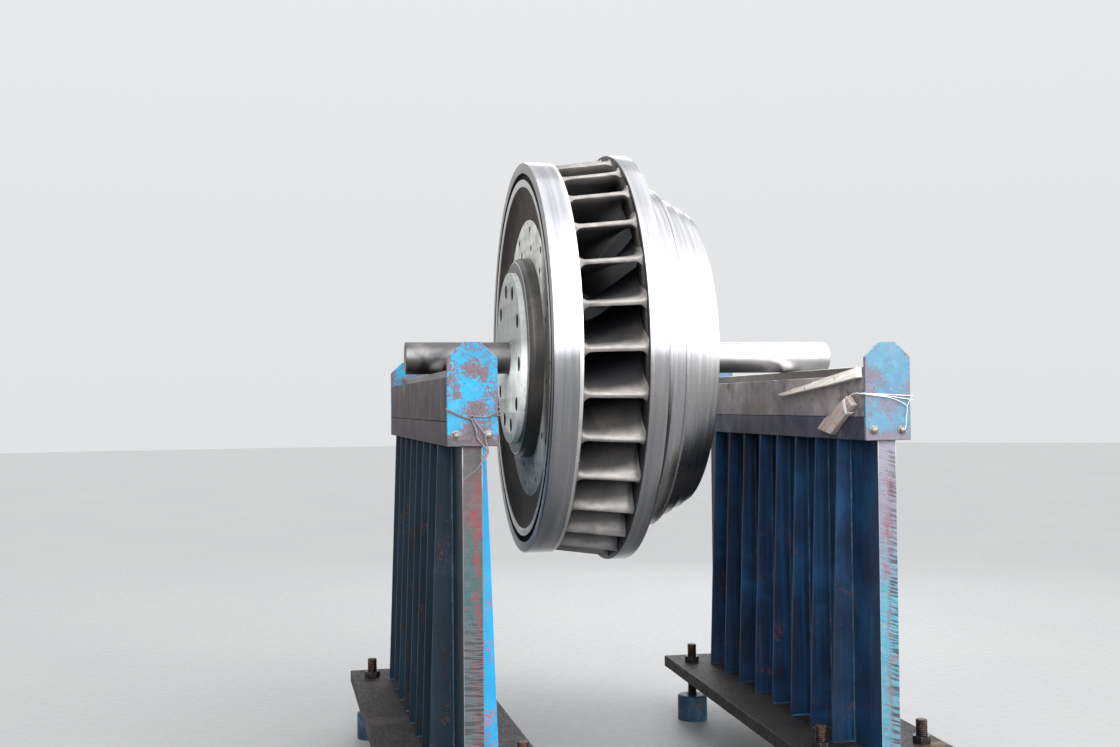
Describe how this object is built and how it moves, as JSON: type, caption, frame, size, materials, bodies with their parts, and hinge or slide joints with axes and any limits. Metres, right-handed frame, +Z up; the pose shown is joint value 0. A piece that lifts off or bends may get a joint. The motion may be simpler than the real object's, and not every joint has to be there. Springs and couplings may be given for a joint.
{
  "type": "francis turbine runner on balancing stands",
  "caption": "Francis turbine runner with splitter blades on a round arbor that rests on the hard rails of two steel static balancing stands.",
  "frame": {"origin": "on the floor, under the middle of the model's bounding box", "axes": "+Z up, +X along the arbor from the crown side to the outlet side, +Y along the rails to the far side"},
  "size_m": [1.8588, 1.7768, 2.2466],
  "materials": {
    "runner_casting": "cast steel, brown film with machined rims",
    "machined_steel": "turned bright, light film",
    "patina_steel": "machined with greenish grey patina",
    "dark_steel": "dark oiled steel",
    "arbor_steel": "ground and oiled",
    "rail_steel": "hardened and ground",
    "beam_steel": "planed steel with brown film",
    "stand_paint": "worn dark blue-green paint",
    "stop_paint": "chipped sky blue paint over red primer",
    "base_steel": "mill scale and rust",
    "jack_steel": "greased and rusty",
    "bare_wood": "dry unpainted wood"
  },
  "bodies": {
    "stands": {"left_rail_strip": "rail_steel", "left_rail_beam": "beam_steel", "left_stand_frame": "stand_paint", "left_base_plate": "base_steel", "left_near_stop_plate": "stop_paint", "left_far_stop_plate": "stop_paint", "left_levelling_jack_1": "jack_steel", "left_levelling_jack_2": "jack_steel", "left_levelling_jack_3": "jack_steel", "left_levelling_jack_4": "jack_steel", "right_rail_strip": "rail_steel", "right_rail_beam": "beam_steel", "right_stand_frame": "stand_paint", "right_base_plate": "base_steel", "right_near_stop_plate": "stop_paint", "right_far_stop_plate": "stop_paint", "right_levelling_jack_1": "jack_steel", "right_levelling_jack_2": "jack_steel", "right_levelling_jack_3": "jack_steel", "right_levelling_jack_4": "jack_steel", "right_long_chock": "bare_wood", "right_short_chock": "bare_wood"},
    "rotor": {"crown": "runner_casting", "crown_cover_disc": "patina_steel", "hub_boss": "dark_steel", "arbor_flange": "patina_steel", "outlet_bush": "machined_steel", "band": "runner_casting", "band_wear_ring": "machined_steel", "arbor": "arbor_steel", "long_blade_01": "runner_casting", "splitter_blade_01": "runner_casting", "long_blade_02": "runner_casting", "splitter_blade_02": "runner_casting", "long_blade_03": "runner_casting", "splitter_blade_03": "runner_casting", "long_blade_04": "runner_casting", "splitter_blade_04": "runner_casting", "long_blade_05": "runner_casting", "splitter_blade_05": "runner_casting", "long_blade_06": "runner_casting", "splitter_blade_06": "runner_casting", "long_blade_07": "runner_casting", "splitter_blade_07": "runner_casting", "long_blade_08": "runner_casting", "splitter_blade_08": "runner_casting", "long_blade_09": "runner_casting", "splitter_blade_09": "runner_casting", "long_blade_10": "runner_casting", "splitter_blade_10": "runner_casting", "long_blade_11": "runner_casting", "splitter_blade_11": "runner_casting", "long_blade_12": "runner_casting", "splitter_blade_12": "runner_casting", "long_blade_13": "runner_casting", "splitter_blade_13": "runner_casting", "long_blade_14": "runner_casting", "splitter_blade_14": "runner_casting", "long_blade_15": "runner_casting", "splitter_blade_15": "runner_casting"}
  },
  "joints": [
    {"name": "rotor_turn", "type": "hinge", "parent": "stands", "child": "rotor", "pos_m": [0.0234, 0, 1.515], "axis": [1, 0, 0], "continuous": true}
  ]
}
